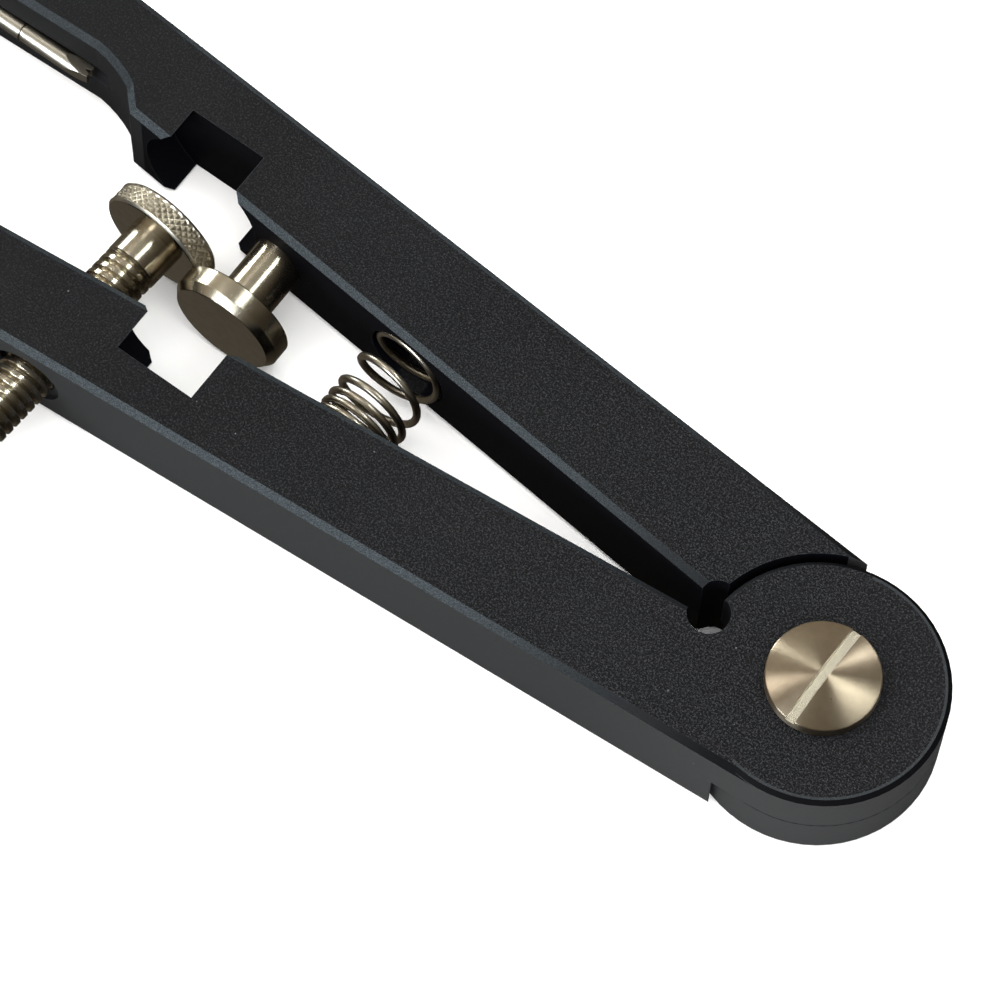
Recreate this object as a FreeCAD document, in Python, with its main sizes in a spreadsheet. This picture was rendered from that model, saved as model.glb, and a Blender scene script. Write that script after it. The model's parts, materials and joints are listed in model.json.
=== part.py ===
import FreeCAD, Part
import math
import os
import Sketcher

App = FreeCAD
V = App.Vector

# Spring-bar plier: two tapered bars on a half-lap hinge, pushed open by a
# compression spring and held at the set opening by a knurled thumbscrew disc
# that hooks behind a plain stop disc.
# Working coordinates: hinge axis = Z, mid thickness at z = 0, +X to the tips,
# lower arm on the +Y side. Millimetres.

doc = App.newDocument("bar_plier")
sheet = doc.addObject("Spreadsheet::Sheet", "Sheet")
DIMS = [
    ("armThick", 8.0), ("discRad", 8.3), ("shoulderRad", 8.8), ("lapGap", 0.1),
    ("edgeCham", 0.45), ("discCham", 0.3),
    ("innerTaper", 5.57), ("innerOff", -0.15), ("outerTaper", 4.06),
    ("reliefX", 8.49), ("reliefY", 0.51), ("reliefRad", 1.43),
    ("pivotRad", 2.5), ("pivotFit", 0.05),
    ("headRad", 3.75), ("headRim", 1.0), ("headDome", 0.6), ("slotWide", 0.75), ("slotDeep", 0.9),
    ("nutRad", 3.6), ("nutThick", 1.5), ("nutPocketRad", 3.75), ("washerThick", 0.3),
    ("springX", 35.2), ("seatRad", 3.15), ("seatFloor", 6.3),
    ("springRad", 2.44), ("wireRad", 0.26), ("springPitch", 1.3),
    ("thumbX", 54.0), ("thumbTilt", 3.8), ("thumbRad", 4.1), ("thumbNear", 0.3), ("thumbThick", 1.77),
    ("collarRad", 1.95), ("collarEnd", 2.05), ("screwRad", 1.85), ("screwEnd", 20.9),
    ("thumbBore", 1.93), ("thumbPocketX", 53.65), ("thumbPocketRad", 4.95), ("thumbPocketFloor", 8.25),
    ("ringRad", 2.7), ("ringThick", 0.8), ("ringAt", 19.4),
    ("stopX", 46.6), ("stopRad", 4.12), ("stopThick", 1.88), ("stopBack", 0.0), ("stopBevel", 0.4),
    ("stemRad", 1.85), ("stemEnd", 10.1), ("stopPocketX", 47.0), ("stopPocketRad", 5.0),
    ("stopPocketFloor", 8.37),
    ("rodRad", 0.75), ("rodY", 7.75), ("rodBack", 65.0), ("rodFront", 118.5),
    ("bladeThick", 0.8), ("grooveRad", 1.0), ("rodBore", 0.78),
    ("scoopShift", 2.6), ("noseStart", 90.0), ("noseEnd", 107.5), ("noseThick", 5.2),
    ("grubX", 101.0), ("grubRad", 1.25),
]
for i, (name, val) in enumerate(DIMS, 1):
    sheet.set("A%d" % i, name)
    sheet.set("B%d" % i, str(val))
    sheet.setAlias("B%d" % i, name)
doc.recompute()
D = dict(DIMS)

NODES = []


def origin_plane(body, role):
    for f in body.Origin.OriginFeatures:
        if f.Role == role:
            return f


def new_body(name):
    b = doc.addObject("PartDesign::Body", name)
    b.Label = name
    NODES.append(b)
    return b


def new_sketch(body, name, role, off=0.0, expr=None):
    s = body.newObject("Sketcher::SketchObject", name)
    s.AttachmentSupport = [(origin_plane(body, role), "")]
    s.MapMode = "FlatFace"
    s.AttachmentOffset = App.Placement(V(0, 0, off), App.Rotation())
    if expr:
        s.setExpression(".AttachmentOffset.Base.z", expr)
    return s


def circle(sk, cx, cy, r, rexpr=None, xexpr=None, yexpr=None):
    g = sk.addGeometry(Part.Circle(V(cx, cy, 0), V(0, 0, 1), r), False)
    c = sk.addConstraint(Sketcher.Constraint("Radius", g, r))
    if rexpr:
        sk.setExpression("Constraints[%d]" % c, rexpr)
    if abs(cx) < 1e-9 and abs(cy) < 1e-9 and not xexpr and not yexpr:
        sk.addConstraint(Sketcher.Constraint("Coincident", g, 3, -1, 1))
        return g
    for kind, val, ex in (("DistanceX", cx, xexpr), ("DistanceY", cy, yexpr)):
        if abs(val) < 1e-9 and not ex:
            if kind == "DistanceY":
                sk.addConstraint(Sketcher.Constraint("PointOnObject", g, 3, -1))
            else:
                sk.addConstraint(Sketcher.Constraint("PointOnObject", g, 3, -2))
        else:
            c = sk.addConstraint(Sketcher.Constraint(kind, -1, 1, g, 3, val))
            if ex:
                sk.setExpression("Constraints[%d]" % c, ex)
    return g


def arc_centre(a, m, b):
    d = 2.0 * (a.x * (m.y - b.y) + m.x * (b.y - a.y) + b.x * (a.y - m.y))
    aa, mm, bb = a.x ** 2 + a.y ** 2, m.x ** 2 + m.y ** 2, b.x ** 2 + b.y ** 2
    return V((aa * (m.y - b.y) + mm * (b.y - a.y) + bb * (a.y - m.y)) / d,
             (aa * (b.x - m.x) + mm * (a.x - b.x) + bb * (m.x - a.x)) / d, 0)


def outline(sk, pts, arcs=None, exprs=None):
    """Closed chain through pts; arcs maps a segment index to its middle point,
    exprs maps a vertex index to a pair of expressions."""
    arcs = arcs or {}
    exprs = exprs or {}
    n = len(pts)
    ids = []
    ends = []
    for i in range(n):
        a = V(pts[i][0], pts[i][1], 0)
        b = V(pts[(i + 1) % n][0], pts[(i + 1) % n][1], 0)
        if i in arcs:
            m = V(arcs[i][0], arcs[i][1], 0)
            cen = arc_centre(a, m, b)
            rad = a.distanceToPoint(cen)
            ccw = (m - a).cross(b - m).z > 0
            p, q = (a, b) if ccw else (b, a)
            a0 = math.atan2(p.y - cen.y, p.x - cen.x)
            a1 = math.atan2(q.y - cen.y, q.x - cen.x)
            if a1 < a0:
                a1 += 2.0 * math.pi
            g = sk.addGeometry(Part.ArcOfCircle(Part.Circle(cen, V(0, 0, 1), rad), a0, a1), False)
            ends.append((1, 2) if ccw else (2, 1))
        else:
            g = sk.addGeometry(Part.LineSegment(a, b), False)
            ends.append((1, 2))
        ids.append(g)
    for i in range(n):
        j = (i + 1) % n
        sk.addConstraint(Sketcher.Constraint("Coincident", ids[i], ends[i][1], ids[j], ends[j][0]))
    for i in range(n):
        ex = exprs.get(i, (None, None))
        for kind, val, e in (("DistanceX", pts[i][0], ex[0]), ("DistanceY", pts[i][1], ex[1])):
            if abs(val) < 1e-9 and not e:
                sk.addConstraint(Sketcher.Constraint(
                    "PointOnObject", ids[i], ends[i][0], -2 if kind == "DistanceX" else -1))
            else:
                c = sk.addConstraint(Sketcher.Constraint(kind, -1, 1, ids[i], ends[i][0], val))
                if e:
                    sk.setExpression("Constraints[%d]" % c, e)
    for i in arcs:
        sk.addConstraint(Sketcher.Constraint("Radius", ids[i], sk.Geometry[ids[i]].Radius))
    return ids


def pad(body, sk, length, expr=None, mid=False, rev=False, name="Pad"):
    p = body.newObject("PartDesign::Pad", body.Name + "_" + name)
    p.Profile = sk
    p.Length = length
    if expr:
        p.setExpression("Length", expr)
    if mid:
        p.Midplane = True
    p.Reversed = rev
    body.Tip = p
    doc.recompute()
    return p


def pocket(body, sk, length=None, expr=None, mid=False, rev=False, name="Pocket"):
    before = body.Tip.Shape.Volume
    p = body.newObject("PartDesign::Pocket", body.Name + "_" + name)
    p.Profile = sk
    if length is None:
        p.Type = "ThroughAll"
    else:
        p.Type = "Length"
        p.Length = length
        if expr:
            p.setExpression("Length", expr)
    if mid:
        p.Midplane = True
    p.Reversed = rev
    body.Tip = p
    doc.recompute()
    if not p.Shape.Volume < before - 1e-4:
        raise RuntimeError("nothing cut by " + p.Name)
    return p


def revolve(body, sk, add=True, axis="V_Axis", name="Revolution"):
    kind = "PartDesign::Revolution" if add else "PartDesign::Groove"
    r = body.newObject(kind, body.Name + "_" + name)
    r.Profile = sk
    r.ReferenceAxis = (sk, [axis])
    r.Angle = 360.0
    body.Tip = r
    doc.recompute()
    return r


def cut_along_y(body, name, x, z, r, y_from, y_to, rexpr=None, xexpr=None, zexpr=None):
    """Round cut with its axis along Y, from y_from up to y_to."""
    sk = new_sketch(body, body.Name + "_" + name + "_sk", "XZ_Plane", -y_to)
    circle(sk, x, z, r, rexpr, xexpr, zexpr)
    return pocket(body, sk, y_to - y_from, rev=True, name=name)


def cut_along_screw(body, name, r, s_from, s_to, rexpr=None):
    """Round cut on the thumbscrew's axis, which leans thumbTilt from Y towards +X."""
    t = math.radians(D["thumbTilt"])
    sk = new_sketch(body, body.Name + "_" + name + "_sk", "XZ_Plane")
    sk.AttachmentOffset = App.Placement(
        V(D["thumbX"] + s_to * math.sin(t), 0, -s_to * math.cos(t)),
        App.Rotation(V(0, 1, 0), -D["thumbTilt"]))
    sk.setExpression(".AttachmentOffset.Base.x", "Sheet.thumbX + %g * sin(Sheet.thumbTilt * 1deg)" % s_to)
    circle(sk, 0, 0, r, rexpr)
    return pocket(body, sk, s_to - s_from, rev=True, name=name)


# ---------------------------------------------------------------- the arms
ti = math.radians(D["innerTaper"])
to = math.radians(D["outerTaper"])


def inner_pt(s):
    o = D["innerOff"]
    return (s * math.cos(ti) - o * math.sin(ti), s * math.sin(ti) + o * math.cos(ti))


def outer_pt(s):
    o = D["discRad"]
    return (s * math.cos(to) - o * math.sin(to), s * math.sin(to) + o * math.cos(to))


def outer_y(x):
    return x * math.tan(to) + D["discRad"] / math.cos(to)


HALF = D["armThick"] / 2.0


def skin_z(x):
    """Half thickness of the arm at x: full to the nose, then a straight taper."""
    if x <= D["noseStart"]:
        return HALF
    k = (HALF - D["noseThick"] / 2.0) / (D["noseEnd"] - D["noseStart"])
    return HALF - (x - D["noseStart"]) * k


def make_arm(name, lower):
    b = new_body(name)
    # the lower arm keeps its full width further forward, past the thumbscrew
    dx = D["scoopShift"] if lower else 0.0
    dy = dx * math.tan(ti)
    p0 = inner_pt(0.0)
    p1 = inner_pt(60.2 + dx / math.cos(ti))
    pts = [p0, p1, (61.31 + dx, 7.14 + dy), (64.66 + dx, 8.13 + dy), (D["noseStart"], 7.18),
           (92.4, 5.6), (D["noseEnd"], 5.6), (D["noseEnd"], 9.9),
           (D["noseStart"], outer_y(D["noseStart"])), outer_pt(0.0)]
    sk = new_sketch(b, name + "_profile", "XY_Plane")
    outline(sk, pts, arcs={2: (62.92 + dx, 7.79 + dy)},
            exprs={4: ("Sheet.noseStart", None), 6: ("Sheet.noseEnd", None),
                   7: ("Sheet.noseEnd", None), 8: ("Sheet.noseStart", None)})
    pad(b, sk, D["armThick"], "Sheet.armThick", mid=True)

    # long-edge chamfers on both faces
    tip = b.Tip
    names = []
    for i, e in enumerate(tip.Shape.Edges, 1):
        vs = [v.Point for v in e.Vertexes]
        if len(vs) != 2:
            continue
        a, c = vs
        if a.z * c.z <= 0:
            continue
        if any(abs(abs(q.z) - HALF) > 1e-4 for q in vs):
            continue
        mid_x = (a.x + c.x) / 2.0
        if mid_x < 1.0 and abs(a.x - c.x) < 1.5:
            continue
        names.append("Edge%d" % i)
    ch = b.newObject("PartDesign::Chamfer", name + "_edges")
    ch.Base = (tip, names)
    ch.Size = D["edgeCham"]
    ch.setExpression("Size", "Sheet.edgeCham")
    b.Tip = ch
    doc.recompute()

    # the nose thins towards the tip on both faces
    x1 = D["noseEnd"] + 1.0
    for tag, sgn in (("top", 1.0), ("bottom", -1.0)):
        sk = new_sketch(b, name + "_thin_" + tag, "XZ_Plane")
        outline(sk, [(D["noseStart"], sgn * HALF), (x1, sgn * skin_z(x1)), (x1, sgn * (HALF + 1.0)),
                     (D["noseStart"], sgn * (HALF + 1.0))])
        pocket(b, sk, 60.0, mid=True, name="thin_" + tag)

    # half lap: clear the other arm's hinge disc, then add this arm's own
    sk = new_sketch(b, name + "_lap", "XY_Plane", D["lapGap"] / 2.0, "Sheet.lapGap / 2")
    circle(sk, 0, 0, D["shoulderRad"], "Sheet.shoulderRad")
    pocket(b, sk, D["armThick"], "Sheet.armThick", name="lap")
    sk = new_sketch(b, name + "_disc_profile", "XZ_Plane")
    g, c, r = D["lapGap"] / 2.0, D["discCham"], D["discRad"]
    outline(sk, [(0, g), (r, g), (r, HALF - c), (r - c, HALF), (0, HALF)],
            exprs={1: ("Sheet.discRad", None), 2: ("Sheet.discRad", None)})
    revolve(b, sk, name="disc")

    # pivot bore; the upper arm turns on the screw and hides the nut
    bore = D["pivotRad"] if lower else D["pivotRad"] + D["pivotFit"]
    sk = new_sketch(b, name + "_pivot_sk", "XY_Plane")
    circle(sk, 0, 0, bore, "Sheet.pivotRad" if lower else "Sheet.pivotRad + Sheet.pivotFit")
    pocket(b, sk, 20.0, mid=True, name="pivot")
    if not lower:
        depth = D["nutThick"] + D["washerThick"] + 0.1
        sk = new_sketch(b, name + "_nut_sk", "XY_Plane", HALF)
        circle(sk, 0, 0, D["nutPocketRad"], "Sheet.nutPocketRad")
        pocket(b, sk, depth, "Sheet.nutThick + Sheet.washerThick + 0.1", name="nut")

    # relief hole drilled at the crotch
    sk = new_sketch(b, name + "_relief_sk", "XY_Plane")
    circle(sk, D["reliefX"], D["reliefY"], D["reliefRad"], "Sheet.reliefRad", "Sheet.reliefX",
           "Sheet.reliefY")
    pocket(b, sk, 20.0, mid=True, name="relief")

    # spring seat
    cut_along_y(b, "seat", D["springX"], 0, D["seatRad"], -8.0, D["seatFloor"],
                "Sheet.seatRad", "Sheet.springX")

    if lower:
        # pocket for the stop disc, tapped bore and its relief on the outside
        cut_along_y(b, "disc_pocket", D["stopPocketX"], 0, D["stopPocketRad"], -8.0,
                    D["stopPocketFloor"], "Sheet.stopPocketRad", "Sheet.stopPocketX")
        cut_along_screw(b, "thumb_bore", D["thumbBore"], -8.0, 30.0, "Sheet.thumbBore")
        cut_along_screw(b, "thumb_relief", 2.5, outer_y(D["thumbX"]) - 0.5, 30.0)
    else:
        # pocket for the thumbscrew disc and the stop screw's bore
        cut_along_y(b, "disc_pocket", D["thumbPocketX"], 0, D["thumbPocketRad"], -8.0,
                    D["thumbPocketFloor"], "Sheet.thumbPocketRad", "Sheet.thumbPocketX")
        cut_along_y(b, "stop_bore", D["stopX"], 0, D["stemRad"] + 0.02, -8.0, 30.0,
                    "Sheet.stemRad + 0.02", "Sheet.stopX")

    # channel and bore for the fork tip
    start = D["rodBack"] - 1.4 + dx
    sk = new_sketch(b, name + "_channel_sk", "YZ_Plane", start)
    circle(sk, D["rodY"], 0, D["grooveRad"], "Sheet.grooveRad", "Sheet.rodY")
    pocket(b, sk, 94.5 - start, rev=True, name="channel")
    sk = new_sketch(b, name + "_rod_bore_sk", "YZ_Plane", 90.0)
    circle(sk, D["rodY"], 0, D["rodBore"], "Sheet.rodBore", "Sheet.rodY")
    pocket(b, sk, 30.0, rev=True, name="rod_bore")
    cut_along_y(b, "grub_bore", D["grubX"], 0, D["grubRad"] + 0.02, D["rodY"], 30.0,
                "Sheet.grubRad + 0.02", "Sheet.grubX")
    return b


lower_arm = make_arm("lower_arm", True)
upper_arm = make_arm("upper_arm", False)

# ------------------------------------------------------- hinge screw and nut
b = new_body("hinge_screw")
sk = new_sketch(b, "hinge_screw_profile", "XZ_Plane")
hr, rim, dome, pr = D["headRad"], D["headRim"], D["headDome"], D["pivotRad"]
top = HALF + 0.03
low = -HALF + 0.05
outline(sk, [(0, low), (pr - 0.4, low), (pr - 0.4, low + 1.9), (pr, low + 1.9), (pr, top), (hr, top),
             (hr, top + rim - 0.12), (hr - 0.12, top + rim), (0, top + rim + dome)],
        arcs={7: (hr / 2.0, top + rim + dome * 0.8)},
        exprs={4: ("Sheet.pivotRad", None), 5: ("Sheet.headRad", None), 6: ("Sheet.headRad", None)})
revolve(b, sk, name="turned")
sk = new_sketch(b, "hinge_screw_slot_sk", "XY_Plane", top + rim + dome)
w = D["slotWide"] / 2.0
outline(sk, [(-w, -5), (w, -5), (w, 5), (-w, 5)],
        exprs={0: ("-Sheet.slotWide / 2", None), 1: ("Sheet.slotWide / 2", None),
               2: ("Sheet.slotWide / 2", None), 3: ("-Sheet.slotWide / 2", None)})
pocket(b, sk, D["slotDeep"], "Sheet.slotDeep", name="slot")

b = new_body("hinge_nut")
sk = new_sketch(b, "hinge_nut_sk", "XY_Plane", -HALF)
circle(sk, 0, 0, D["nutRad"], "Sheet.nutRad")
circle(sk, 0, 0, D["pivotRad"] - 0.4, "Sheet.pivotRad - 0.4")
pad(b, sk, D["nutThick"], "Sheet.nutThick")
sk = new_sketch(b, "hinge_nut_holes_sk", "XY_Plane", -HALF)
circle(sk, 2.9, 0, 0.4)
circle(sk, -2.9, 0, 0.4)
pocket(b, sk, 0.9, rev=True, name="spanner_holes")

b = new_body("hinge_washer")
sk = new_sketch(b, "hinge_washer_sk", "XY_Plane", -HALF + D["nutThick"], "Sheet.nutThick - Sheet.armThick / 2")
circle(sk, 0, 0, D["nutRad"] - 0.05, "Sheet.nutRad - 0.05")
circle(sk, 0, 0, D["pivotRad"] + 0.03, "Sheet.pivotRad + 0.03")
pad(b, sk, D["washerThick"], "Sheet.washerThick")

# ------------------------------------------------------- compression spring
seat = D["seatFloor"] - 0.05
length = 2.0 * (seat - D["wireRad"])
helix = doc.addObject("Part::Helix", "spring_line")
helix.Pitch = D["springPitch"]
helix.Height = length
helix.Radius = D["springRad"]
helix.SegmentLength = 1.0
helix.setExpression("Pitch", "Sheet.springPitch")
helix.setExpression("Radius", "Sheet.springRad")
helix.setExpression("Height", "2 * (Sheet.seatFloor - 0.05 - Sheet.wireRad)")
wire = doc.addObject("Part::Circle", "spring_wire")
wire.Radius = D["wireRad"]
wire.setExpression("Radius", "Sheet.wireRad")
wire.Placement = App.Placement(V(D["springRad"], 0, 0), App.Rotation(V(1, 0, 0), 90))
spring = doc.addObject("Part::Sweep", "compression_spring")
spring.Label = "compression_spring"
spring.Sections = [wire]
spring.Spine = (helix, [])
spring.Solid = True
spring.Frenet = True
NODES.append(spring)

# ------------------------------------------------------- thumbscrew
b = new_body("thumbscrew")
sk = new_sketch(b, "thumbscrew_profile", "XY_Plane")
tr, near, tk = D["thumbRad"], D["thumbNear"], D["thumbThick"]
cr, ce, sr, se = D["collarRad"], D["collarEnd"], D["screwRad"], D["screwEnd"]
outline(sk, [(0, -near - tk), (tr - 0.25, -near - tk), (tr, -near - tk + 0.25), (tr, -near - 0.25),
             (tr - 0.25, -near), (cr, -near), (cr, ce), (sr, ce + 0.15),
             (sr, D["ringAt"] + 0.05), (sr - 0.35, D["ringAt"] + 0.05),
             (sr - 0.35, D["ringAt"] + D["ringThick"] + 0.05), (sr, D["ringAt"] + D["ringThick"] + 0.05),
             (sr, se - 0.4), (sr - 0.4, se), (0, se)],
        exprs={2: ("Sheet.thumbRad", None), 3: ("Sheet.thumbRad", None),
               5: ("Sheet.collarRad", None), 6: ("Sheet.collarRad", "Sheet.collarEnd")})
revolve(b, sk, name="turned")
thumbscrew = b

b = new_body("thumbscrew_end_ring")
sk = new_sketch(b, "end_ring_sk", "XZ_Plane", -(D["ringAt"] + 0.1))
circle(sk, 0, 0, D["ringRad"], "Sheet.ringRad")
circle(sk, 0, 0, D["screwRad"] - 0.27, "Sheet.screwRad - 0.27")
pad(b, sk, D["ringThick"] - 0.1, "Sheet.ringThick - 0.1", rev=True)
end_ring = b

# ------------------------------------------------------- stop screw
b = new_body("stop_screw")
sk = new_sketch(b, "stop_screw_profile", "XY_Plane")
k0, kt, kr, kb = D["stopBack"], D["stopThick"], D["stopRad"], D["stopBevel"]
outline(sk, [(0, -D["stemEnd"]), (D["stemRad"] - 0.3, -D["stemEnd"]), (D["stemRad"], -D["stemEnd"] + 0.3),
             (D["stemRad"], k0), (kr - 0.1, k0), (kr, k0 + 0.1), (kr, k0 + kt - kb - 0.15), (kr - kb, k0 + kt),
             (0, k0 + kt)],
        exprs={3: ("Sheet.stemRad", "Sheet.stopBack")})
revolve(b, sk, name="turned")
stop_screw = b

b = new_body("stop_jam_screw")
sk = new_sketch(b, "stop_jam_sk", "XZ_Plane", D["stemEnd"] + 0.1)
circle(sk, 0, 0, D["stemRad"], "Sheet.stemRad")
pad(b, sk, 1.3)
sk = new_sketch(b, "stop_jam_hex_sk", "XZ_Plane", D["stemEnd"] + 1.4)
hx = 0.9 / math.cos(math.radians(30))
outline(sk, [(hx * math.cos(math.radians(60 * i)), hx * math.sin(math.radians(60 * i))) for i in range(6)])
pocket(b, sk, 0.9, name="hex")
jam = b


# ------------------------------------------------------- fork tips, set screws
def make_tip(name, dx):
    b = new_body(name)
    h = D["bladeThick"] / 2.0
    x0, x1 = D["rodBack"] + dx, D["rodFront"]
    sk = new_sketch(b, name + "_bar_sk", "YZ_Plane", x0)
    circle(sk, D["rodY"], 0, D["rodRad"], "Sheet.rodRad", "Sheet.rodY")
    pad(b, sk, x1 - x0)
    for tag, s in (("top", 1.0), ("bottom", -1.0)):
        # the hinge-side end draws in to a small blunt point
        sk = new_sketch(b, name + "_taper_" + tag, "XZ_Plane", -D["rodY"])
        outline(sk, [(x0 - 0.5, s * 0.37), (x0 + 2.2, s * 0.78), (x0 + 2.2, s * 2.0), (x0 - 0.5, s * 2.0)])
        pocket(b, sk, 4.0, mid=True, name="back_taper_" + tag)
        sk = new_sketch(b, name + "_cheek_" + tag, "XY_Plane")
        outline(sk, [(x0 - 0.5, D["rodY"] + s * 0.34), (x0 + 2.0, D["rodY"] + s * 0.78),
                     (x0 + 2.0, D["rodY"] + s * 2.0), (x0 - 0.5, D["rodY"] + s * 2.0)])
        pocket(b, sk, 4.0, mid=True, name="back_cheek_" + tag)
        sk = new_sketch(b, name + "_front_" + tag, "XZ_Plane", -D["rodY"])
        outline(sk, [(x1 + 1, s * h * 0.9), (x1 - 3.2, s * h), (x1 - 4.6, s * 1.0), (x1 - 4.6, s * 2.0), (x1 + 1, s * 2.0)])
        pocket(b, sk, 4.0, mid=True, name="front_flat_" + tag)
    # turned line where the blunt point screws into its shank
    sk = new_sketch(b, name + "_line_sk", "YZ_Plane", x0 + 5.5)
    circle(sk, D["rodY"], 0, 2.0, None, "Sheet.rodY")
    circle(sk, D["rodY"], 0, D["rodRad"] - 0.11, "Sheet.rodRad - 0.11", "Sheet.rodY")
    pocket(b, sk, 0.16, rev=True, name="line")
    for tag, xa, d, deep, wide in (("back", x0, 1.0, 0.45, 0.34), ("front", x1, -1.0, 1.05, 0.56)):
        sk = new_sketch(b, name + "_notch_" + tag, "XY_Plane")
        y = D["rodY"]
        outline(sk, [(xa - d * 0.5, y - wide), (xa + d * deep, y), (xa - d * 0.5, y + wide)])
        pocket(b, sk, 4.0, mid=True, name="notch_" + tag)
    return b


def make_grub(name):
    b = new_body(name)
    y0 = D["rodY"] + D["rodRad"] + 0.03
    y1 = 11.4
    sk = new_sketch(b, name + "_sk", "XZ_Plane", -y0)
    circle(sk, D["grubX"], 0, D["grubRad"], "Sheet.grubRad", "Sheet.grubX")
    pad(b, sk, y1 - y0, rev=True)
    sk = new_sketch(b, name + "_hex_sk", "XZ_Plane", -y1)
    a = 0.65 / math.cos(math.radians(30))
    outline(sk, [(D["grubX"] + a * math.cos(math.radians(60 * i)), a * math.sin(math.radians(60 * i)))
                 for i in range(6)])
    pocket(b, sk, 1.2, rev=True, name="hex")
    return b


lower_tip = make_tip("lower_fork_tip", D["scoopShift"])
upper_tip = make_tip("upper_fork_tip", 0.0)
lower_grub = make_grub("lower_tip_set_screw")
upper_grub = make_grub("upper_tip_set_screw")
doc.recompute()

# ------------------------------------------------------- assembly at rest
FLIP = App.Rotation(V(1, 0, 0), 180)
NONE = App.Rotation()
LEAN = App.Rotation(V(0, 0, 1), -D["thumbTilt"])
rest = {
    "lower_arm": (V(0, 0, 0), NONE),
    "upper_arm": (V(0, 0, 0), FLIP),
    "hinge_screw": (V(0, 0, 0), NONE),
    "hinge_nut": (V(0, 0, 0), NONE),
    "hinge_washer": (V(0, 0, 0), NONE),
    # helix axis turned onto Y
    "compression_spring": (V(D["springX"], length / 2.0, 0), App.Rotation(V(1, 0, 0), 90)),
    "thumbscrew": (V(D["thumbX"], 0, 0), LEAN),
    "thumbscrew_end_ring": (V(D["thumbX"], 0, 0), LEAN),
    "stop_screw": (V(D["stopX"], 0, 0), NONE),
    "stop_jam_screw": (V(D["stopX"], 0, 0), NONE),
    "lower_fork_tip": (V(0, 0, 0), NONE),
    "upper_fork_tip": (V(0, 0, 0), FLIP),
    "lower_tip_set_screw": (V(0, 0, 0), NONE),
    "upper_tip_set_screw": (V(0, 0, 0), FLIP),
}
box = App.BoundBox()
for n in NODES:
    pos, rot = rest[n.Label]
    n.Placement = App.Placement(pos, rot)
doc.recompute()
for n in NODES:
    box.add(n.Shape.optimalBoundingBox(True, False))
shift = V(-(box.XMin + box.XMax) / 2.0, -(box.YMin + box.YMax) / 2.0, -box.ZMin)
for n in NODES:
    pos, rot = rest[n.Label]
    n.Placement = App.Placement(pos + shift, rot)
doc.recompute()

for o in doc.Objects:
    st = list(getattr(o, "State", []))
    if "Invalid" in st or "Error" in st:
        raise RuntimeError("object in error: %s %s" % (o.Name, st))
os.makedirs("parts", exist_ok=True)
for n in NODES:
    s = n.Shape
    if s.isNull() or not s.isValid() or len(s.Solids) != 1:
        raise RuntimeError("bad shape: %s" % n.Label)
    s.exportStep("parts/%s.step" % n.Label)
    bb = s.BoundBox
    print("%-22s vol %9.3f  x %8.2f %8.2f  y %7.2f %7.2f  z %6.2f %6.2f" % (
        n.Label, s.Volume, bb.XMin, bb.XMax, bb.YMin, bb.YMax, bb.ZMin, bb.ZMax))
print("shift", shift)
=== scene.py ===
import bpy
import bmesh
import json
import math
from mathutils import Matrix, Vector


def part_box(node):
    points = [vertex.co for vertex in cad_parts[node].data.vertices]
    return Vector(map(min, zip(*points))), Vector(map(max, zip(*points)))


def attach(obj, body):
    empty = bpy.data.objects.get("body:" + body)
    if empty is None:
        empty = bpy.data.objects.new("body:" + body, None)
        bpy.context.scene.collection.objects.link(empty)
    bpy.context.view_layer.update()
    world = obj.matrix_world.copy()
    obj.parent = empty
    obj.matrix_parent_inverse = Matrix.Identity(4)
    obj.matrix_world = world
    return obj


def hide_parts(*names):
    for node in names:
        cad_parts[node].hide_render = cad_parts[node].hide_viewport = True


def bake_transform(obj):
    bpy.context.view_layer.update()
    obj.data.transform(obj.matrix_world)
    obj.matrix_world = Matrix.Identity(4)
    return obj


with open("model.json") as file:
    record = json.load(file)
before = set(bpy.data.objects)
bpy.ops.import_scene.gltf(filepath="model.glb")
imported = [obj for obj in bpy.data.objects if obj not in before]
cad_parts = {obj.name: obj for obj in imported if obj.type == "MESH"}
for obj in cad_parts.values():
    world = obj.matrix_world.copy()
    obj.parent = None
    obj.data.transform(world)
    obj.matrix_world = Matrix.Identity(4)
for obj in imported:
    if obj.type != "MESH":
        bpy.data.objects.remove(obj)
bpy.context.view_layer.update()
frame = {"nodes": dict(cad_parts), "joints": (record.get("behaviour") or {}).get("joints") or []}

MM = 0.001

# ------------------------------------------------------------------ places
_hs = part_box("hinge_screw")
_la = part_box("lower_arm")
HX = (_hs[0][0] + _hs[1][0]) / 2.0
HY = (_hs[0][1] + _hs[1][1]) / 2.0
HZ = (_la[0][2] + _la[1][2]) / 2.0
_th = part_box("thumbscrew")
_tj = next(j for j in frame["joints"] if j["name"] == "thumb_turn")
_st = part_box("stop_screw")
_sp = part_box("compression_spring")
# the thumbscrew's axis leans a little from Y: its direction and its foot come
# from its joint, its stations along that axis are lengths of the screw itself
_ta = -Vector(_tj["axis"]).normalized()
LEAN = math.asin(_ta.x)
THUMB_AT = Vector(_tj["pos_m"])
THUMB_NEAR, THUMB_FAR, COLLAR_END = -0.30, -2.07, 2.05
THUMB_END = 20.9
STOP_X = ((_st[0][0] + _st[1][0]) / 2.0 - HX) / MM
STOP_END = (_st[0][1] - HY) / MM
SPRING_X = ((_sp[0][0] + _sp[1][0]) / 2.0 - HX) / MM


def at(x, y, z):
    """Millimetres from the hinge axis at mid thickness to the row frame."""
    return Vector((HX + x * MM, HY + y * MM, HZ + z * MM))


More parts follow.
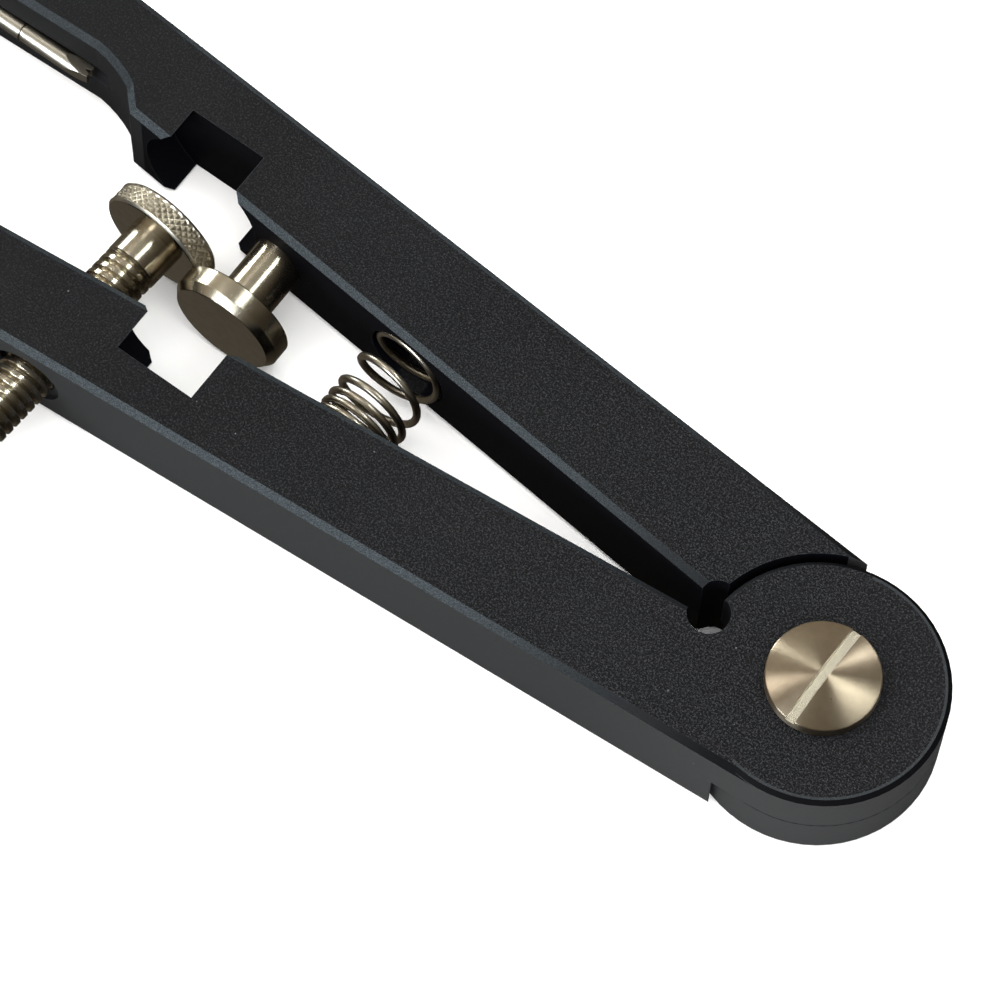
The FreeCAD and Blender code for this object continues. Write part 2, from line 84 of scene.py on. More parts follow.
# ------------------------------------------------------------------ materials
def new_mat(name):
    m = bpy.data.materials.new(name)
    m.use_nodes = True
    nt = m.node_tree
    nt.nodes.clear()
    out = nt.nodes.new("ShaderNodeOutputMaterial")
    bsdf = nt.nodes.new("ShaderNodeBsdfPrincipled")
    nt.links.new(bsdf.outputs[0], out.inputs[0])
    return m, nt, bsdf


def node(nt, kind, **vals):
    n = nt.nodes.new(kind)
    for k, v in vals.items():
        if k.startswith("in_"):
            key = k[3:]
            n.inputs[int(key) if key.isdigit() else key].default_value = v
        else:
            setattr(n, k, v)
    return n


def math_node(nt, op, a, b=None, c=None, clamp=False):
    n = nt.nodes.new("ShaderNodeMath")
    n.operation = op
    n.use_clamp = clamp
    for i, v in enumerate((a, b, c)):
        if v is None:
            continue
        if isinstance(v, (int, float)):
            n.inputs[i].default_value = v
        else:
            nt.links.new(v, n.inputs[i])
    return n.outputs[0]


def ramp(nt, fac, stops):
    n = nt.nodes.new("ShaderNodeValToRGB")
    e = n.color_ramp.elements
    while len(e) < len(stops):
        e.new(0.5)
    for el, (p, c) in zip(e, stops):
        el.position = p
        el.color = c if len(c) == 4 else (c[0], c[1], c[2], 1.0)
    nt.links.new(fac, n.inputs[0])
    return n.outputs[0]


def mix_rgb(nt, fac, a, b, mode="MIX"):
    n = nt.nodes.new("ShaderNodeMix")
    n.data_type = "RGBA"
    n.blend_type = mode
    for sock, v in ((n.inputs[0], fac), (n.inputs[6], a), (n.inputs[7], b)):
        if isinstance(v, (int, float)):
            sock.default_value = v
        elif isinstance(v, (tuple, list)):
            sock.default_value = (v[0], v[1], v[2], 1.0)
        else:
            nt.links.new(v, sock)
    return n.outputs[2]


def mm_coords(nt):
    tc = nt.nodes.new("ShaderNodeTexCoord")
    mp = nt.nodes.new("ShaderNodeMapping")
    mp.inputs["Scale"].default_value = (1000.0, 1000.0, 1000.0)
    nt.links.new(tc.outputs["Object"], mp.inputs["Vector"])
    return mp.outputs[0]


def anodised(name):
    """Matte black anodised aluminium: bead-blasted flats with a fine speckle, outer sides
    painted lighter and cut faces inside painted darker as shade, polished chamfers and
    rubbed edges with painted highlights, with a few specks of dust."""
    m, nt, b = new_mat(name)
    co = mm_coords(nt)
    fine = node(nt, "ShaderNodeTexNoise", in_Scale=7.5, in_Detail=3.0, in_Roughness=0.7)
    grain = node(nt, "ShaderNodeTexNoise", in_Scale=15.0, in_Detail=1.5, in_Roughness=0.6)
    broad = node(nt, "ShaderNodeTexNoise", in_Scale=0.09, in_Detail=2.0)
    for n in (fine, grain, broad):
        nt.links.new(co, n.inputs["Vector"])
    geo = nt.nodes.new("ShaderNodeNewGeometry")
    sep = nt.nodes.new("ShaderNodeSeparateXYZ")
    nt.links.new(geo.outputs["True Normal"], sep.inputs[0])
    nz = math_node(nt, "ABSOLUTE", sep.outputs[2])
    flat = math_node(nt, "GREATER_THAN", nz, 0.95)
    # the far sides of the arms and the round of the hinge discs get a lighter painted colour for the light they
    # catch, the
    #     faces ahead of the disc pockets a little darker painted shade, the slit and pockets the darkest painted
    #     shade
    pos = nt.nodes.new("ShaderNodeSeparateXYZ")
    nt.links.new(co, pos.inputs[0])
    along = math_node(nt, "SUBTRACT", pos.outputs[0], HX / MM)
    # the chamfer round the hinge discs is conical, so its facets vary a little more
    rim = math_node(nt, "MULTIPLY", math_node(nt, "LESS_THAN", along, 9.0),
                    math_node(nt, "COMPARE", nz, 0.7071, 0.12))
    cham = math_node(nt, "MAXIMUM", rim, math_node(nt, "COMPARE", nz, 0.7071, 0.012))
    off = math_node(nt, "ABSOLUTE", math_node(nt, "SUBTRACT", pos.outputs[1], HY / MM))
    side = math_node(nt, "GREATER_THAN", math_node(nt, "MULTIPLY_ADD", along, -0.0710, off), 7.8)
    outer = math_node(nt, "MAXIMUM", side, math_node(nt, "LESS_THAN", along, 3.5))
    back = nt.nodes.new("ShaderNodeMapRange")
    back.interpolation_type = "SMOOTHSTEP"
    back.inputs["From Min"].default_value = 16.0
    back.inputs["From Max"].default_value = -3.0
    nt.links.new(along, back.inputs["Value"])
    back = back.outputs[0]
    front = math_node(nt, "GREATER_THAN", along, 58.9)

    speck = ramp(nt, fine.outputs[0], [(0.50, (0.0, 0.0, 0.0)), (0.74, (1.0, 1.0, 1.0))])
    tone = ramp(nt, broad.outputs[0], [(0.35, TONE_LO), (0.65, TONE_HI)])
    # the blasted texture is coarser and stands out more towards the hinge
    near = nt.nodes.new("ShaderNodeMapRange")
    near.inputs["From Min"].default_value = 62.0
    near.inputs["From Max"].default_value = 6.0
    nt.links.new(along, near.inputs["Value"])
    near = near.outputs[0]
    grit = ramp(nt, fine.outputs[0], [(0.47, (0.0, 0.0, 0.0)), (0.80, (1.0, 1.0, 1.0))])
    tone = mix_rgb(nt, math_node(nt, "MULTIPLY", near, 0.55), tone, (0.0022, 0.0023, 0.0027))
    bright = mix_rgb(nt, speck, tone, TONE_SPECK)
    patchy = math_node(nt, "MULTIPLY_ADD", grain.outputs[0], 2.6, -0.72, clamp=True)
    grit = math_node(nt, "MULTIPLY", math_node(nt, "MULTIPLY", grit, near), patchy)
    bright = mix_rgb(nt, grit, bright, (0.039, 0.0405, 0.0445))
    # lighter line where the hinge disc meets its chamfer, as rubbing and as a painted highlight
    rad = math_node(nt, "SQRT", math_node(nt, "ADD", math_node(nt, "MULTIPLY", along, along),
                                          math_node(nt, "MULTIPLY", off, off)))
    rubbed_line_and_highlight = math_node(nt, "MULTIPLY", math_node(nt, "COMPARE", rad, 7.90, 0.09),
                     math_node(nt, "LESS_THAN", along, 1.5))
    bright = mix_rgb(nt, math_node(nt, "MULTIPLY", rubbed_line_and_highlight, 0.50), bright, (0.030, 0.034, 0.037))
    # painted light: the outer walls are painted far lighter than the flats, lightest near the hinge discs
    painted_lit_wall = mix_rgb(nt, math_node(nt, "MULTIPLY", speck, 0.30), (0.0220, 0.0226, 0.0236), (0.036, 0.037, 0.038))
    painted_lit_wall = mix_rgb(nt, math_node(nt, "MULTIPLY", back, 0.7), painted_lit_wall, (0.034, 0.0345, 0.0355))
    # painted shade: inner faces darkest in the slit and pockets, a little less dark ahead of them
    painted_shade_ahead = mix_rgb(nt, speck, (0.0100, 0.0102, 0.0112), (0.016, 0.0163, 0.0176))
    painted_shade_inner = mix_rgb(nt, speck, (0.0022, 0.0023, 0.0034), (0.0036, 0.0037, 0.0052))
    painted_shade_inner = mix_rgb(nt, front, painted_shade_inner, painted_shade_ahead)
    col = mix_rgb(nt, outer, painted_shade_inner, painted_lit_wall)
    col = mix_rgb(nt, flat, col, bright)
    # painted highlight: the chamfers are painted lighter and bluish with a speckled sparkle, fading dark towards
    # the hinge and dimmer on the scoop
    spark = ramp(nt, grain.outputs[0], [(0.40, (0.0, 0.0, 0.0)), (0.66, (1.0, 1.0, 1.0))])
    chamfer_painted_highlight = mix_rgb(nt, spark, (0.010, 0.0125, 0.0145), (0.040, 0.048, 0.055))
    fade = nt.nodes.new("ShaderNodeMapRange")
    fade.interpolation_type = "SMOOTHSTEP"
    fade.inputs["From Min"].default_value = 6.0
    fade.inputs["From Max"].default_value = 26.0
    fade.inputs["To Min"].default_value = 0.06
    nt.links.new(along, fade.inputs["Value"])
    chamfer_painted_highlight = mix_rgb(nt, fade.outputs[0], (0.0065, 0.0068, 0.0075), chamfer_painted_highlight)
    chamfer_painted_highlight = mix_rgb(nt, math_node(nt, "MULTIPLY", math_node(nt, "GREATER_THAN", along, 61.0), 0.45), chamfer_painted_highlight,
                   (0.008, 0.009, 0.010))
    col = mix_rgb(nt, cham, col, chamfer_painted_highlight)
    # painted shade: the chamfer round the hinge discs is darkened towards the hinge
    rim_painted_shade = nt.nodes.new("ShaderNodeMapRange")
    rim_painted_shade.interpolation_type = "SMOOTHSTEP"
    rim_painted_shade.inputs["From Min"].default_value = 8.8
    rim_painted_shade.inputs["From Max"].default_value = 1.5
    nt.links.new(along, rim_painted_shade.inputs["Value"])
    col = mix_rgb(nt, math_node(nt, "MULTIPLY", rim, rim_painted_shade.outputs[0]), col, (0.0020, 0.0021, 0.0026))
    # bare, rubbed edges, lightened as wear and as a painted edge highlight
    bevel = node(nt, "ShaderNodeBevel", samples=6, in_Radius=0.00009)
    dot = nt.nodes.new("ShaderNodeVectorMath")
    dot.operation = "DOT_PRODUCT"
    nt.links.new(bevel.outputs[0], dot.inputs[0])
    nt.links.new(geo.outputs["True Normal"], dot.inputs[1])
    edge_wear_and_highlight = nt.nodes.new("ShaderNodeMapRange")
    edge_wear_and_highlight.inputs["From Min"].default_value = 0.985
    edge_wear_and_highlight.inputs["From Max"].default_value = 0.90
    edge_wear_and_highlight.inputs["To Max"].default_value = 0.45
    nt.links.new(dot.outputs["Value"], edge_wear_and_highlight.inputs["Value"])
    rub_and_painted_highlight = math_node(nt, "MULTIPLY", edge_wear_and_highlight.outputs[0], math_node(nt, "SUBTRACT", 1.0, rim))
    col = mix_rgb(nt, rub_and_painted_highlight, col, (0.026, 0.031, 0.035))
    # sparse dust
    vor = node(nt, "ShaderNodeTexVoronoi", in_Scale=0.32, in_Randomness=1.0)
    nt.links.new(co, vor.inputs["Vector"])
    dust = math_node(nt, "LESS_THAN", vor.outputs["Distance"], 0.020)
    col = mix_rgb(nt, math_node(nt, "MULTIPLY", dust, 0.35), col, (0.16, 0.16, 0.16))
    nt.links.new(col, b.inputs["Base Color"])

    rough = math_node(nt, "MULTIPLY_ADD", fine.outputs[0], 0.16, 0.50)
    rough = math_node(nt, "MULTIPLY_ADD", math_node(nt, "MULTIPLY", cham, fade.outputs[0]), -0.18, rough)
    nt.links.new(rough, b.inputs["Roughness"])
    b.inputs["Specular IOR Level"].default_value = 0.05
    b.inputs["IOR"].default_value = 1.5

    bev = node(nt, "ShaderNodeBevel", samples=4, in_Radius=0.00007)
    bump = node(nt, "ShaderNodeBump", in_Distance=0.00001)
    h = math_node(nt, "ADD", fine.outputs[0], math_node(nt, "MULTIPLY", grain.outputs[0], 0.6))
    nt.links.new(h, bump.inputs["Height"])
    nt.links.new(math_node(nt, "MULTIPLY_ADD", flat, 0.45, 0.12), bump.inputs["Strength"])
    nt.links.new(bev.outputs[0], bump.inputs["Normal"])
    nt.links.new(bump.outputs[0], b.inputs["Normal"])
    return m


def metal(name, colour, rough, aniso=0.0, axis=None, rings=0.0, ring_mm=0.05, streak=0.0):
    """Nickel or steel. axis names the turning axis in the piece's own space, rings
    the depth of the turning lines, streak a fine mottle."""
    m, nt, b = new_mat(name)
    co = mm_coords(nt)
    b.inputs["Metallic"].default_value = 1.0
    mott = node(nt, "ShaderNodeTexNoise", in_Scale=1.3, in_Detail=4.0, in_Roughness=0.6)
    nt.links.new(co, mott.inputs["Vector"])
    c0 = tuple(v * 0.90 for v in colour)
    col = ramp(nt, mott.outputs[0], [(0.35, c0), (0.65, colour)])
    nt.links.new(col, b.inputs["Base Color"])
    fine = node(nt, "ShaderNodeTexNoise", in_Scale=14.0, in_Detail=2.0)
    nt.links.new(co, fine.inputs["Vector"])
    r = math_node(nt, "MULTIPLY_ADD", mott.outputs[0], rough * 0.35, rough * 0.82)
    nt.links.new(r, b.inputs["Roughness"])
    bev = node(nt, "ShaderNodeBevel", samples=4, in_Radius=0.00005)
    bump = node(nt, "ShaderNodeBump", in_Distance=0.00001, in_Strength=1.0)
    height = math_node(nt, "MULTIPLY", fine.outputs[0], streak)
    if axis is not None:
        b.inputs["Anisotropic"].default_value = aniso
        b.inputs["Anisotropic Rotation"].default_value = 0.25
        tan = node(nt, "ShaderNodeTangent", direction_type="RADIAL", axis=axis)
        nt.links.new(tan.outputs[0], b.inputs["Tangent"])
        sep = nt.nodes.new("ShaderNodeSeparateXYZ")
        nt.links.new(co, sep.inputs[0])
        i, j = {"X": (1, 2), "Y": (0, 2), "Z": (0, 1)}[axis]
        k = {"X": 0, "Y": 1, "Z": 2}[axis]
        r2 = math_node(nt, "ADD", math_node(nt, "MULTIPLY", sep.outputs[i], sep.outputs[i]),
                       math_node(nt, "MULTIPLY", sep.outputs[j], sep.outputs[j]))
        rad = math_node(nt, "SQRT", r2)
        pos = math_node(nt, "ADD", rad, math_node(nt, "MULTIPLY", sep.outputs[k], 0.73))
        n1 = node(nt, "ShaderNodeTexNoise", noise_dimensions="1D", in_Scale=1.0 / ring_mm, in_Detail=2.0)
        nt.links.new(pos, n1.inputs["W"])
        height = math_node(nt, "ADD", height, math_node(nt, "MULTIPLY", n1.outputs[0], rings))
    nt.links.new(height, bump.inputs["Height"])
    nt.links.new(bev.outputs[0], bump.inputs["Normal"])
    nt.links.new(bump.outputs[0], b.inputs["Normal"])
    return m


TONE_LO = (0.0044, 0.0045, 0.0050)
TONE_HI = (0.0060, 0.0062, 0.0068)
TONE_SPECK = (0.0175, 0.0180, 0.0195)
NICKEL = (0.63, 0.58, 0.475)
STEEL = (0.62, 0.60, 0.56)
MAT_ARM = anodised("black_anodised")
MAT_HEAD = metal("turned_head", (0.46, 0.385, 0.30), 0.30, 0.95, "Z", rings=0.22, ring_mm=0.06, streak=0.03)
MAT_SLOT = metal("milled_slot", (0.70, 0.645, 0.55), 0.30, streak=2.2)
MAT_TURNED_Y = metal("faced_nickel", (0.58, 0.54, 0.46), 0.08, 0.0, "Y", rings=0.05, ring_mm=0.09, streak=0.02)
MAT_SHANK = metal("polished_nickel", (0.68, 0.63, 0.53), 0.26, 0.7, "Y", rings=0.10, ring_mm=0.08, streak=0.04)
MAT_KNURL = metal("knurled_nickel", (0.78, 0.735, 0.64), 0.33, streak=0.25)
MAT_SPRING = metal("spring_wire", (0.60, 0.56, 0.49), 0.30, streak=0.03)
MAT_TIP = metal("tip_steel", (0.58, 0.55, 0.49), 0.36, streak=0.20)
MAT_GROUND = metal("ground_steel", (0.58, 0.54, 0.50), 0.36, streak=0.5)
MAT_NUT = metal("nut_nickel", NICKEL, 0.28, 0.6, "Z", rings=0.3, ring_mm=0.06, streak=0.08)
MAT_DARK = metal("black_oxide", (0.055, 0.055, 0.060), 0.38, streak=0.2)


def give(obj, mat):
    obj.data.materials.clear()
    obj.data.materials.append(mat)


def give_cad(name, mat):
    o = frame["nodes"][name]
    if o.material_slots:
        for s in o.material_slots:
            s.material = mat
    else:
        o.data.materials.append(mat)


# ------------------------------------------------------------------ mesh tools
def mesh_object(name, verts, faces, origin, sharp=32.0):
    me = bpy.data.meshes.new(name)
    me.from_pydata([tuple(v) for v in verts], [], faces)
    me.validate()
    bm = bmesh.new()
    bm.from_mesh(me)
    bmesh.ops.remove_doubles(bm, verts=bm.verts, dist=1e-8)
    bmesh.ops.recalc_face_normals(bm, faces=bm.faces)
    bm.to_mesh(me)
    bm.free()
    for p in me.polygons:
        p.use_smooth = True
    me.set_sharp_from_angle(angle=math.radians(sharp))
    o = bpy.data.objects.new(name, me)
    o.location = origin
    bpy.context.scene.collection.objects.link(o)
    return o


def rounded(pts, radii, steps=5):
    """Profile points with an arc of the given radius at each inner corner."""
    out = [pts[0]]
    for i in range(1, len(pts) - 1):
        r = radii[i] if isinstance(radii, (list, tuple)) else radii
        p, a, c = Vector(pts[i]), Vector(pts[i - 1]), Vector(pts[i + 1])
        u, w = (a - p), (c - p)
        lu, lw = u.length, w.length
        if r <= 0 or lu < 1e-9 or lw < 1e-9:
            out.append(pts[i])
            continue
        u, w = u / lu, w / lw
        ang = u.angle(w)
        if ang > math.pi - 0.02:
            out.append(pts[i])
            continue
        d = min(r / math.tan(ang / 2.0), lu * 0.48, lw * 0.48)
        rr = d * math.tan(ang / 2.0)
        bis = (u + w).normalized()
        cen = p + bis * (rr / math.sin(ang / 2.0))
        s, e = p + u * d, p + w * d
        a0 = math.atan2(s.y - cen.y, s.x - cen.x)
        a1 = math.atan2(e.y - cen.y, e.x - cen.x)
        da = (a1 - a0 + math.pi) % (2 * math.pi) - math.pi
        for k in range(steps + 1):
            t = a0 + da * k / steps
            out.append((cen.x + rr * math.cos(t), cen.y + rr * math.sin(t)))
    out.append(pts[-1])
    return out


def lathe(name, profile, axis, origin, segs=96, bump=None, sharp=32.0):
    """Turned solid: profile of (radius, height) in mm, from the axis back to the axis."""
    verts, faces = [], []
    rows = []
    for r, h in profile:
        row = []
        if r < 1e-6:
            row.append(len(verts))
            verts.append((0.0, 0.0, h))
        else:
            for s in range(segs):
                t = 2 * math.pi * s / segs
                rr = r if bump is None else bump(r, h, t)
                row.append(len(verts))
                verts.append((rr * math.cos(t), rr * math.sin(t), h))
        rows.append(row)
    for a, b in zip(rows, rows[1:]):
        if len(a) == 1 and len(b) == 1:
            continue
        for s in range(segs):
            n = (s + 1) % segs
            if len(a) == 1:
                faces.append((a[0], b[s], b[n]))
            elif len(b) == 1:
                faces.append((a[s], b[0], a[n]))
            else:
                faces.append((a[s], b[s], b[n], a[n]))
    if axis == "Y":
        verts = [(x * MM, h * MM, -y * MM) for x, y, h in verts]
    elif axis == "X":
        verts = [(h * MM, x * MM, y * MM) for x, y, h in verts]
    else:
        verts = [(x * MM, y * MM, h * MM) for x, y, h in verts]
    return mesh_object(name, verts, faces, origin, sharp)


def tri(v):
    f = v - math.floor(v)
    return 1.0 - abs(2.0 * f - 1.0)


# ------------------------------------------------------------------ hinge screw
top = 4.03
prof = rounded([(0, -3.95), (2.1, -3.95), (2.1, -2.05), (2.5, -2.05), (2.5, top), (3.75, top),
                (3.75, top + 0.98), (3.60, top + 1.03)],
               [0, 0.05, 0.03, 0.03, 0.03, 0.06, 0.12, 0], 5)
_cap = (3.60 ** 2 + 0.55 ** 2) / (2 * 0.55)
_rim = math.asin(3.60 / _cap)
for i in range(1, 29):
    a = _rim * (1 - i / 28.0)
    prof.append((_cap * math.sin(a), top + 1.58 - _cap * (1 - math.cos(a))))
prof[-1] = (0, top + 1.58)
head = lathe("hinge_screw_turned", prof, "Z", at(0, 0, 0), 128)
cut_me = bpy.data.meshes.new("slot_cut")
bm = bmesh.new()
bmesh.ops.create_cube(bm, size=1.0)
bmesh.ops.scale(bm, vec=Vector((0.68 * MM, 9.0 * MM, 2.4 * MM)), verts=bm.verts)
bmesh.ops.translate(bm, vec=Vector((0, 0, (top + 0.72 + 1.2) * MM)), verts=bm.verts)
bm.to_mesh(cut_me)
bm.free()
cutter = bpy.data.objects.new("slot_cut", cut_me)
cutter.location = head.location
bpy.context.scene.collection.objects.link(cutter)
bpy.context.view_layer.update()
mod = head.modifiers.new("slot", "BOOLEAN")
mod.operation = "DIFFERENCE"
mod.solver = "EXACT"
mod.object = cutter
bpy.context.view_layer.update()
dg = bpy.context.evaluated_depsgraph_get()
new_me = bpy.data.meshes.new_from_object(head.evaluated_get(dg))
head.modifiers.clear()
old = head.data
head.data = new_me
bpy.data.meshes.remove(old)
bpy.data.objects.remove(cutter)
for p in head.data.polygons:
    p.use_smooth = True
head.data.set_sharp_from_angle(angle=math.radians(30))
give(head, MAT_HEAD)
head.data.materials.append(MAT_SLOT)
for p in head.data.polygons:
    if abs(p.center.x) < 0.40 * MM and p.center.z > (top + 0.6) * MM and (
            abs(p.normal.x) > 0.8 or p.center.z < (top + 0.80) * MM):
        p.material_index = 1
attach(head, "lower")
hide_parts("hinge_screw")

# ------------------------------------------------------------------ thumbscrew
R_DISC = (_th[1][2] - _th[0][2]) / 2.0 / MM - 0.01
N_DIAMONDS, PITCH, DEPTH = 42, 0.50, 0.15
W0, W1 = THUMB_FAR + 0.01, THUMB_NEAR


def knurl(r, h, t):
    if r < R_DISC - 0.2:
        return r
    u = N_DIAMONDS * t / (2 * math.pi)
    w = (h - W0) / PITCH
    v = min(tri(u + w), tri(u - w))
    fade = max(0.0, min(1.0, (h - (W0 + 0.20)) / 0.12)) * max(0.0, min(1.0, ((W1 - 0.20) - h) / 0.12))
    return r - DEPTH * (1.0 - v) * fade


R = R_DISC
rows = [(0, W0), (R - 1.1, W0), (R - 0.30, W0), (R - 0.17, W0 + 0.03), (R, W0 + 0.20)]
n = 44
for i in range(1, n):
    rows.append((R, W0 + 0.20 + (W1 - W0 - 0.40) * i / n))
rows += [(R, W1 - 0.20), (R - 0.17, W1 - 0.03), (R - 0.30, W1), (R - 1.1, W1), (0, W1)]
disc = lathe("thumb_knurled_disc", rows, "Y", THUMB_AT, N_DIAMONDS * 14, knurl, 38.0)
disc.rotation_euler = (0, 0, -LEAN)
bpy.context.view_layer.update()
give(disc, MAT_KNURL)
disc.data.materials.append(MAT_TURNED_Y)
for p in disc.data.polygons:
    c = p.center
    if math.hypot(c.x, c.z) < (R - 0.17) * MM and abs(p.normal.y) > 0.5:
        p.material_index = 1
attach(disc, "thumb")
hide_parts("thumbscrew")

collar = lathe("thumb_collar", rounded([(0, -0.4), (1.93, -0.4), (1.93, COLLAR_END - 0.12),
                                        (1.80, COLLAR_END), (1.4, COLLAR_END + 0.02), (0, COLLAR_END + 0.02)],
                                       [0, 0.02, 0.08, 0.04, 0.02, 0], 6),
               "Y", THUMB_AT, 96)
collar.rotation_euler = (0, 0, -LEAN)
bpy.context.view_layer.update()
give(collar, MAT_SHANK)
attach(collar, "thumb")
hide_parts("thumbscrew")

SCREW_PITCH, R_MAJ, R_MIN = 0.7, 1.90, 1.56
T0 = COLLAR_END - 0.02


def thread(r, h, t):
    if r < 1.0:
        return r
    s = h / SCREW_PITCH - t / (2 * math.pi)
    f = s - math.floor(s)
    v = abs(2.0 * f - 1.0)
    c = max(0.0, min(1.0, (v - 0.06) / 0.44))
    prof_r = R_MIN + (R_MAJ - R_MIN) * c * c * (3 - 2 * c)
    run_in = max(0.0, min(1.0, (h - T0) / 0.12))
    run_out = max(0.0, min(1.0, (THUMB_END - 0.02 - h) / 0.5))
    rr = R_MIN + (prof_r - R_MIN) * run_out
    return rr * run_in + (R_MIN - 0.02) * (1 - run_in) if run_in < 1 else rr


rows = [(0, T0), (R_MIN - 0.02, T0)]
steps = int((THUMB_END - 0.05 - T0 - 0.02) / 0.05)
for i in range(steps + 1):
    rows.append((R_MAJ, T0 + 0.02 + (THUMB_END - 0.05 - T0 - 0.02) * i / steps))
rows += [(1.35, THUMB_END), (0, THUMB_END)]
screw = lathe("thumb_thread", rows, "Y", THUMB_AT, 72, thread, 50.0)
screw.rotation_euler = (0, 0, -LEAN)
bpy.context.view_layer.update()
give(screw, MAT_SHANK)
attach(screw, "thumb")
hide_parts("thumbscrew")

# ------------------------------------------------------------------ stop screw
R = (_st[1][2] - _st[0][2]) / 2.0 / MM
FACE = (_st[1][1] - HY) / MM
prof = rounded([(0, STOP_END), (1.55, STOP_END), (1.85, STOP_END + 0.3), (1.85, FACE - 1.98), (1.72, FACE - 1.95),
                (1.72, FACE - 1.88), (R - 0.1, FACE - 1.88),
                (R, FACE - 1.78), (R, FACE - 0.56), (R - 0.42, FACE), (0, FACE)],
               [0, 0.05, 0.05, 0.03, 0.02, 0.02, 0.05, 0.05, 0.06, 0.05, 0], 6)
stop = lathe("stop_disc_and_stem", prof, "Y", at(STOP_X, 0, 0), 128)
give(stop, MAT_SHANK)
stop.data.materials.append(MAT_TURNED_Y)
for p in stop.data.polygons:
    if p.center.y > (FACE - 0.02) * MM:
        p.material_index = 1
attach(stop, "upper")
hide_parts("stop_screw")

# ------------------------------------------------------------------ spring
SEAT = 6.20
R_COIL, R_WIRE, TURNS = 2.68, 0.27, 11.7
# height of each turn: wide turns at the upper arm, close ones at the lower arm
LEVELS = (-6.24, -5.67, -5.10, -3.95, -1.88, 0.20, 1.28, 2.06, 2.76, 3.40, 4.02, 4.60, 5.17, 5.74, 6.31, 6.88)


def level(n):
    k = int(n)
    u = n - k
    p0, p1, p2, p3 = LEVELS[k:k + 4]
    return 0.5 * (2 * p1 + (p2 - p0) * u + (2 * p0 - 5 * p1 + 4 * p2 - p3) * u * u
                  + (3 * p1 - p0 - 3 * p2 + p3) * u ** 3)


RES, RING = 40, 14
verts, faces = [], []
total = int(TURNS * RES)
for i in range(total + 1):
    n = TURNS * i / total
    t = 2 * math.pi * n
    y = level(n)
    cx, cz = R_COIL * math.cos(t), R_COIL * math.sin(t)
    rad = Vector((math.cos(t), 0, math.sin(t)))
    dy = (level(min(n + 0.02, TURNS)) - level(max(n - 0.02, 0.0))) / 0.04 / (2 * math.pi * R_COIL)
    tan = Vector((-math.sin(t), dy, math.cos(t))).normalized()
    bi = tan.cross(rad).normalized()
    bow = 0.05 * math.cos(y * math.pi / 12.0)
    for k in range(RING):
        a = 2 * math.pi * k / RING
        v = Vector((cx + bow, y, cz)) + rad * (R_WIRE * math.cos(a)) + bi * (R_WIRE * math.sin(a))
        verts.append(v * MM)
for i in range(total):
    for k in range(RING):
        n2 = (k + 1) % RING
        faces.append((i * RING + k, i * RING + n2, (i + 1) * RING + n2, (i + 1) * RING + k))
faces.append(tuple(range(RING)))
faces.append(tuple((total * RING + k) for k in reversed(range(RING))))
coil = mesh_object("spring_coil", verts, faces, at(0, 0, 0), 60)
for v in coil.data.vertices:
    v.co.x += SPRING_X * MM
# vertices in the row frame
off = coil.location.copy()
for v in coil.data.vertices:
    v.co += off
coil.location = (0, 0, 0)
give(coil, MAT_SPRING)
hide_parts("compression_spring")
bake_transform(coil)

# ------------------------------------------------------------------ CAD nodes that stay
for nme in ("lower_arm", "upper_arm"):
    give_cad(nme, MAT_ARM)
give_cad("hinge_nut", MAT_NUT)
give_cad("hinge_washer", MAT_TIP)
give_cad("thumbscrew_end_ring", MAT_TIP)
give_cad("stop_jam_screw", MAT_DARK)
for nme in ("lower_tip_set_screw", "upper_tip_set_screw"):
    give_cad(nme, MAT_DARK)
for nme in ("lower_fork_tip", "upper_fork_tip"):
    give_cad(nme, MAT_TIP)

# ------------------------------------------------------------------ floor
me = bpy.data.meshes.new("floor")
s = 1.6
me.from_pydata([(-s, -s, 0), (s, -s, 0), (s, s, 0), (-s, s, 0)], [], [(0, 1, 2, 3)])
floor = bpy.data.objects.new("floor", me)
floor.location = (0, 0, -0.00005)
floor.visible_glossy = False
bpy.context.scene.collection.objects.link(floor)
mf, nt, b = new_mat("floor_white")
b.inputs["Base Color"].default_value = (0.92, 0.92, 0.92, 1)
b.inputs["Roughness"].default_value = 0.9
b.inputs["Specular IOR Level"].default_value = 0.0
give(floor, mf)

bpy.context.scene.view_settings.view_transform = "Standard"

# ------------------------------------------------------------------ world and lights
w = bpy.data.worlds.new("studio")
bpy.context.scene.world = w
w.use_nodes = True
wt = w.node_tree
bg = wt.nodes["Background"]
tc = wt.nodes.new("ShaderNodeTexCoord")
sep = wt.nodes.new("ShaderNodeSeparateXYZ")
wt.links.new(tc.outputs["Generated"], sep.inputs[0])
half = math_node(wt, "MULTIPLY_ADD", sep.outputs[2], 0.5, 0.5)
sky = ramp(wt, half, [(0.0, (0.120, 0.106, 0.086)), (0.42, (0.130, 0.112, 0.088)), (0.54, (0.28, 0.235, 0.175)),
                      (0.80, (0.50, 0.45, 0.35)), (1.0, (0.52, 0.48, 0.40))])
across = math_node(wt, "MULTIPLY_ADD", sep.outputs[0], 0.5, 0.5)
shade = ramp(wt, across, [(0.08, (0.14, 0.13, 0.12)), (0.36, (0.42, 0.40, 0.37)), (0.62, (1.0, 1.0, 1.0)),
                          (1.0, (1.25, 1.2, 1.15))])
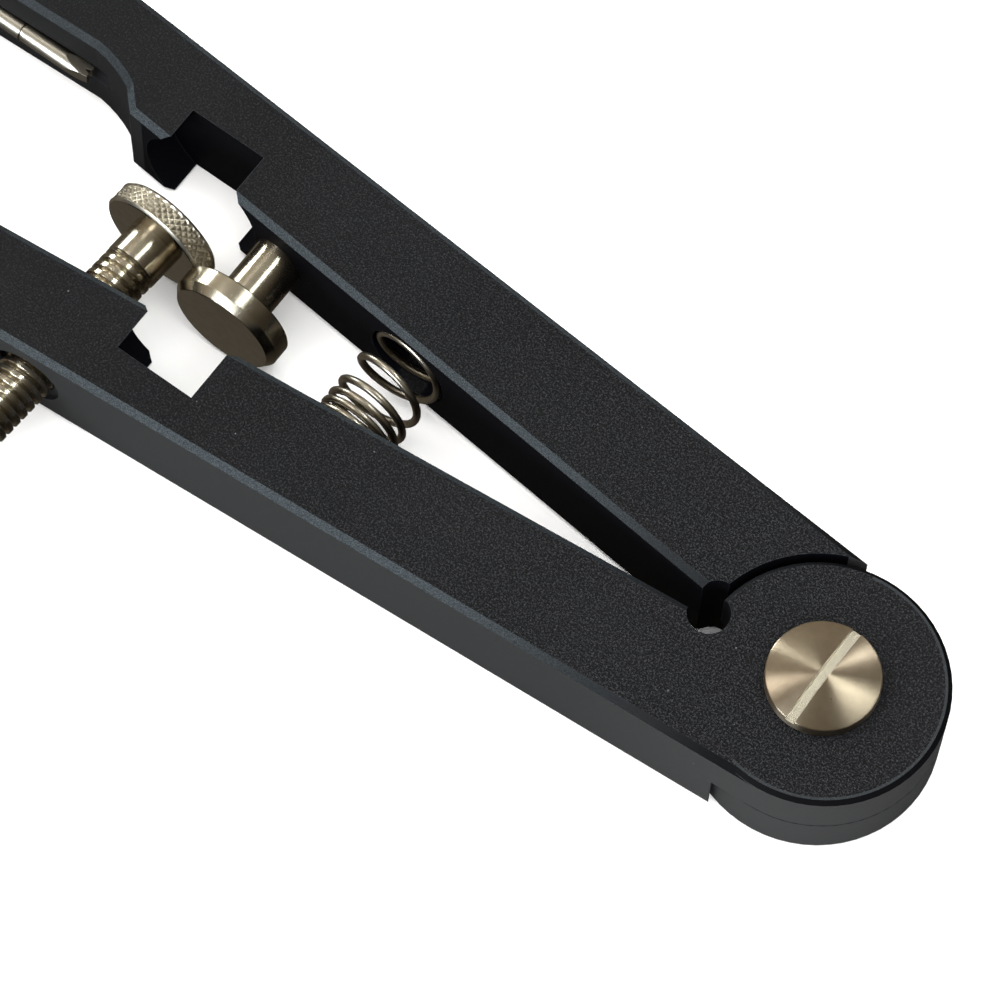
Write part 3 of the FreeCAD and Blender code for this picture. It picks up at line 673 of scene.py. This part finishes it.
sky = mix_rgb(wt, 1.0, sky, shade, "MULTIPLY")
wt.links.new(sky, bg.inputs[0])
bg.inputs[1].default_value = 0.75


def area(name, direction, dist, sx, sy, power, colour, glossy=True):
    d = Vector(direction).normalized()
    li = bpy.data.lights.new(name, "AREA")
    li.shape = "RECTANGLE"
    li.size, li.size_y = sx, sy
    li.energy = power
    li.color = colour
    o = bpy.data.objects.new(name, li)
    o.location = d * dist
    o.rotation_euler = d.to_track_quat("Z", "Y").to_euler()
    o.visible_glossy = glossy
    bpy.context.scene.collection.objects.link(o)
    return o


area("strip", (-0.22, -0.33, 0.92), 0.9, 0.11, 0.24, 1.1, (0.95, 1.0, 0.92))
area("strip_2", (-0.07, -0.66, 0.75), 0.9, 0.08, 0.12, 0.5, (0.98, 1.0, 0.95))
area("broad", (0.50, 0.10, 0.86), 0.9, 0.20, 0.22, 0.8, (1.0, 0.97, 0.90))
area("side", (0.90, -0.33, 0.30), 0.9, 0.16, 0.30, 2.2, (0.95, 1.0, 0.94))
area("window", (0.20, 0.92, 0.34), 1.0, 0.6, 0.28, 7.0, (0.90, 0.97, 1.0))
area("soft_top", (0.0, 0.12, 1.0), 1.2, 1.7, 1.7, 34.0, (1.0, 1.0, 1.0), False)
area("soft_left", (-0.8, 0.3, 0.6), 1.3, 1.2, 1.2, 12.0, (1.0, 1.0, 1.0), False)
area("soft_right", (0.8, 0.3, 0.6), 1.3, 1.2, 1.2, 12.0, (1.0, 1.0, 1.0), False)

# ------------------------------------------------------------------ camera
cam = bpy.data.cameras.new("camera")
co = bpy.data.objects.new("camera", cam)
right = Vector((-0.806481, -0.59071, 0.025488))
up = Vector((0.552059, -0.736877, 0.390184))
back = Vector((-0.211704, 0.328747, 0.920384))
loc = at(-48.891, 115.0105, 319.865)
mat = Matrix((right, up, back)).transposed().to_4x4()
mat.translation = loc
co.matrix_world = mat
cam.sensor_width = 36.0
cam.lens = 192.342
cam.clip_start = 0.01
cam.clip_end = 10.0
bpy.context.scene.collection.objects.link(co)
bpy.context.scene.camera = co
